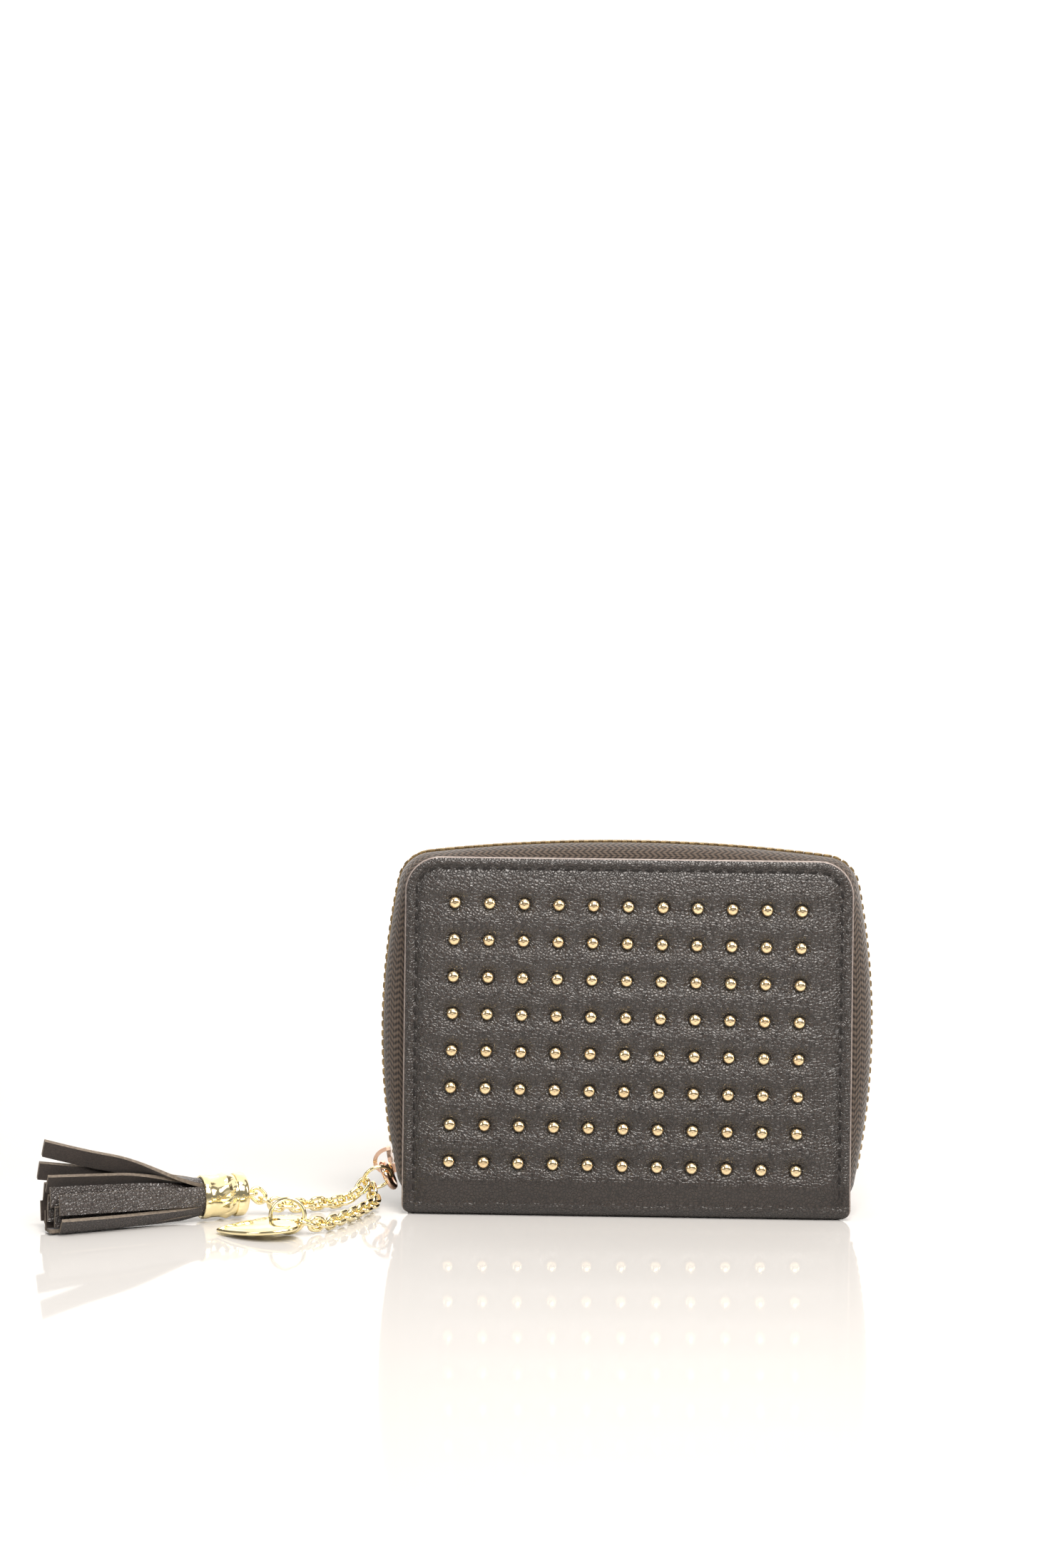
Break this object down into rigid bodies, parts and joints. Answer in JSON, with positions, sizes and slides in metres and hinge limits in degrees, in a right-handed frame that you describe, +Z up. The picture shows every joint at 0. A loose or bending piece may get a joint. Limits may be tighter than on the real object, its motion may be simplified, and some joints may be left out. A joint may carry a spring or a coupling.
{
  "type": "chain wallet",
  "caption": "Small zip-round leather wallet with a studded padded front, standing on its spine, with a chain, a heart charm and a leather tassel on its zip pull.",
  "frame": {"origin": "middle of the underside of the spine, which the wallet stands on", "axes": "+X along the spine away from the chain, +Y towards the back cover, +Z up"},
  "size_m": [0.2021, 0.0607, 0.0938],
  "materials": {
    "black_leather": "pebble-grained, soft sheen",
    "gold_studs": "polished pale gold plate",
    "thread": "dark twisted thread",
    "foam": "soft open-cell padding",
    "board": "plain fibreboard",
    "lining": "fine twill",
    "zip_tape": "woven herringbone tape",
    "zip_teeth": "antique gold",
    "rose_gold": "polished rose-gold plate",
    "pale_gold": "polished pale-gold plate"
  },
  "bodies": {
    "spine": {"spine_leather": "black_leather", "spine_board": "board", "spine_lining": "lining", "front_fold": "black_leather", "back_fold": "black_leather"},
    "front_cover": {"front_leather": "black_leather", "front_studs": "gold_studs", "front_stitches": "thread", "front_foam": "foam", "front_board": "board", "front_lining": "lining", "front_zip_tape": "zip_tape", "front_zip_teeth": "zip_teeth", "card_pocket_1": "black_leather", "card_pocket_2": "black_leather", "card_pocket_3": "black_leather"},
    "back_cover": {"back_leather": "black_leather", "back_stitches": "thread", "back_foam": "foam", "back_board": "board", "back_lining": "lining", "back_zip_tape": "zip_tape", "back_zip_teeth": "zip_teeth", "zip_end_stops": "zip_teeth", "coin_pocket": "lining", "coin_zip_tapes": "zip_tape", "coin_zip_teeth": "zip_teeth", "coin_zip_stops": "zip_teeth"},
    "zip_slider": {"zip_slider": "rose_gold"},
    "pull_ring": {"pull_ring": "rose_gold"},
    "jump_ring": {"jump_ring": "pale_gold"},
    "tassel_chain_near": {"tassel_chain_near": "pale_gold"},
    "tassel_chain_far": {"tassel_chain_far": "pale_gold"},
    "tassel": {"tassel_cap": "pale_gold", "tassel_eye": "pale_gold", "tassel_fringe": "black_leather"},
    "charm_chain_near": {"charm_chain_near": "pale_gold"},
    "charm_chain_far": {"charm_chain_far": "pale_gold"},
    "charm_ring": {"charm_ring": "pale_gold"},
    "charm": {"charm": "pale_gold"},
    "coin_zip_slider": {"coin_zip_slider": "rose_gold"},
    "coin_zip_pull": {"coin_zip_pull": "rose_gold"}
  },
  "joints": [
    {"name": "front_cover_hinge", "type": "hinge", "parent": "spine", "child": "front_cover", "pos_m": [0, -0.01, 0.0025], "axis": [1, 0, 0], "range_deg": [0, 90], "deforming": ["front_fold"]},
    {"name": "back_cover_hinge", "type": "hinge", "parent": "spine", "child": "back_cover", "pos_m": [0, 0.01, 0.0025], "axis": [-1, 0, 0], "range_deg": [0, 90], "deforming": ["back_fold"]},
    {"name": "zip_slider_travel", "type": "hinge", "parent": "back_cover", "child": "zip_slider", "pos_m": [0.1256, 0, 0.0465], "axis": [0, 1, 0], "range_deg": [0, 17.5]},
    {"name": "pull_ring_swing", "type": "hinge", "parent": "zip_slider", "child": "pull_ring", "pos_m": [-0.06159, -0.00029, 0.01046], "axis": [0, 1, 0], "range_deg": [0, 45]},
    {"name": "jump_ring_swing", "type": "hinge", "parent": "pull_ring", "child": "jump_ring", "pos_m": [-0.059, -0.00294, 0.00575], "axis": [0.3099, 0.7656, -0.5637], "range_deg": [0, 14]},
    {"name": "tassel_chain_slide", "type": "hinge", "parent": "jump_ring", "child": "tassel_chain_near", "pos_m": [-0.0625, -0.00408, 0.00776], "axis": [-0.3561, 0.7502, 0.5571], "range_deg": [0, 40]},
    {"name": "tassel_chain_bend", "type": "hinge", "parent": "tassel_chain_near", "child": "tassel_chain_far", "pos_m": [-0.07287, -0.00843, 0.0021], "axis": [-0.4821, 0.8132, 0.3259], "range_deg": [0, 30]},
    {"name": "tassel_swing", "type": "hinge", "parent": "tassel_chain_far", "child": "tassel", "pos_m": [-0.09148, -0.01692, 0.00575], "axis": [-0.454, 0.891, 0], "range_deg": [0, 50]},
    {"name": "charm_chain_slide", "type": "hinge", "parent": "jump_ring", "child": "charm_chain_near", "pos_m": [-0.0625, -0.00408, 0.00776], "axis": [-0.3561, 0.7502, 0.5571], "range_deg": [-12, 6]},
    {"name": "charm_chain_bend", "type": "hinge", "parent": "charm_chain_near", "child": "charm_chain_far", "pos_m": [-0.06484, -0.01628, 0.00222], "axis": [0.2035, -0.0653, 0.9769], "range_deg": [-8, 30]},
    {"name": "charm_ring_swing", "type": "hinge", "parent": "charm_chain_far", "child": "charm_ring", "pos_m": [-0.07695, -0.039, 0.00339], "axis": [0.3102, 0, 0.9507], "range_deg": [-20, 20]},
    {"name": "charm_swing", "type": "hinge", "parent": "charm_ring", "child": "charm", "pos_m": [-0.0808, -0.039, 0.00465], "axis": [0, 1, 0], "range_deg": [0, 90]},
    {"name": "coin_zip_travel", "type": "slide", "parent": "back_cover", "child": "coin_zip_slider", "axis": [1, 0, 0], "range_m": [0, 0.078]},
    {"name": "coin_zip_pull_swing", "type": "hinge", "parent": "coin_zip_slider", "child": "coin_zip_pull", "pos_m": [-0.0394, 0.00375, 0.05], "axis": [-1, 0, 0], "range_deg": [0, 45]}
  ]
}
